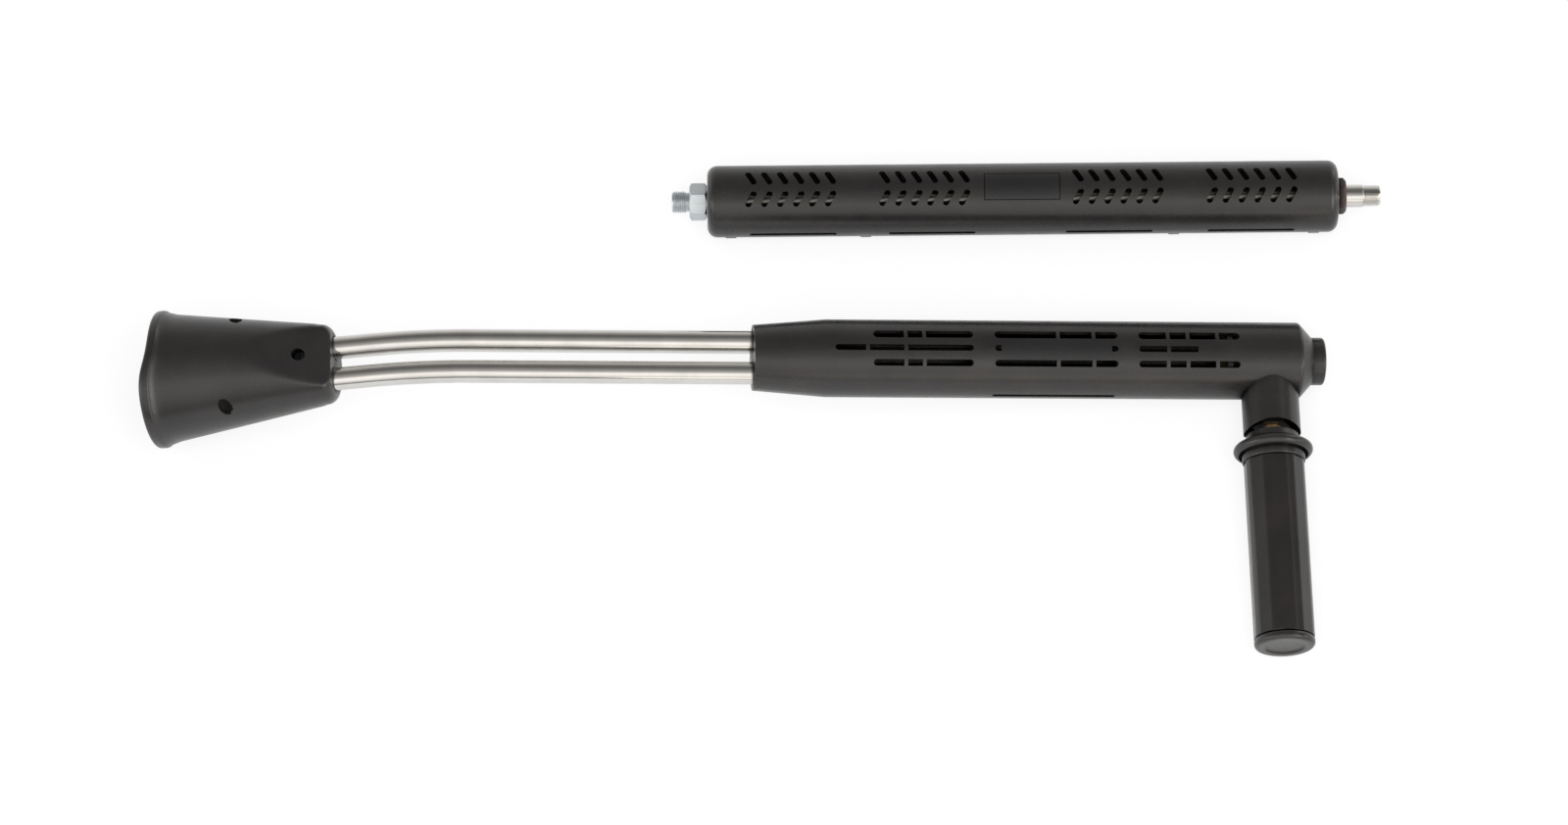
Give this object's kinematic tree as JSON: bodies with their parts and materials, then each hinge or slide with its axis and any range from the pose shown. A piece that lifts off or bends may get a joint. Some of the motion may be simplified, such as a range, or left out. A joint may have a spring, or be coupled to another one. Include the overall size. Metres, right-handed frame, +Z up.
{
  "type": "pressure washer lance set",
  "caption": "Twin-tube pressure-washer lance with a bell nozzle protector and a side grip that turns a needle valve, laid beside its separate vented extension lance.",
  "frame": {"origin": "on the bench under the middle of the whole layout's box", "axes": "+X towards the lance's inlet, +Y from the lance towards the extension lance, so the side grip points to -Y, +Z up from the bench"},
  "size_m": [0.739, 0.3163, 0.0802],
  "materials": {
    "black_plastic": "satin, lightly textured",
    "hub_plastic": "matt",
    "stainless": "polished along the tube",
    "zinc": "zinc plated",
    "black_steel": "blackened",
    "brass": "machined",
    "brown_plastic": "satin",
    "rubber": "matt",
    "copper": "annealed",
    "label": "bare label place"
  },
  "bodies": {
    "lance": {"nozzle_protector": "black_plastic", "protector_screw": "black_steel", "nozzle_hub": "hub_plastic", "high_pressure_tube": "stainless", "low_pressure_tube": "stainless", "high_nozzle_holder": "brass", "low_nozzle_holder": "brass", "high_pressure_nozzle": "brass", "low_pressure_nozzle": "brass", "nozzle_washers": "rubber", "housing_top_shell": "black_plastic", "housing_bottom_shell": "black_plastic", "housing_label": "label", "front_tube_clamp": "hub_plastic", "middle_tube_clamp": "hub_plastic", "rear_tube_clamp": "hub_plastic", "housing_screws": "zinc", "valve_block": "brass", "valve_seat": "stainless", "gland_nut": "black_steel", "gland_seals": "rubber", "inlet_fitting": "brass", "inlet_washer": "copper"},
    "needle": {"valve_needle": "stainless"},
    "grip": {"spindle": "brass", "grip_core": "black_plastic", "grip_sleeve": "black_plastic", "grip_end_cap": "black_plastic", "grip_screw": "zinc", "grip_washer": "zinc"},
    "extension": {"wand_top_shell": "black_plastic", "wand_bottom_shell": "black_plastic", "wand_label": "label", "wand_pipe": "stainless", "wand_inlet_nipple": "zinc", "wand_outlet_collar": "brown_plastic", "wand_spacers": "hub_plastic", "wand_screws": "zinc"}
  },
  "joints": [
    {"name": "valve_travel", "type": "slide", "parent": "lance", "child": "needle", "axis": [-0.0012, -0.9999, -0.0143], "range_m": [-0.0045, 0]},
    {"name": "grip_turn", "type": "hinge", "parent": "needle", "child": "grip", "pos_m": [0.29569, -0.08795, 0.02274], "axis": [-0.0012, -0.9999, -0.0143], "range_deg": [-1212, 0]},
    {"name": "extension_lift", "type": "slide", "parent": "lance", "child": "extension", "axis": [0, 0, 1], "range_m": [0, 0.3]}
  ],
  "couplings": [
    {"joint": "grip_turn", "follows": "valve_travel", "rad_per_m": 4699.5}
  ]
}
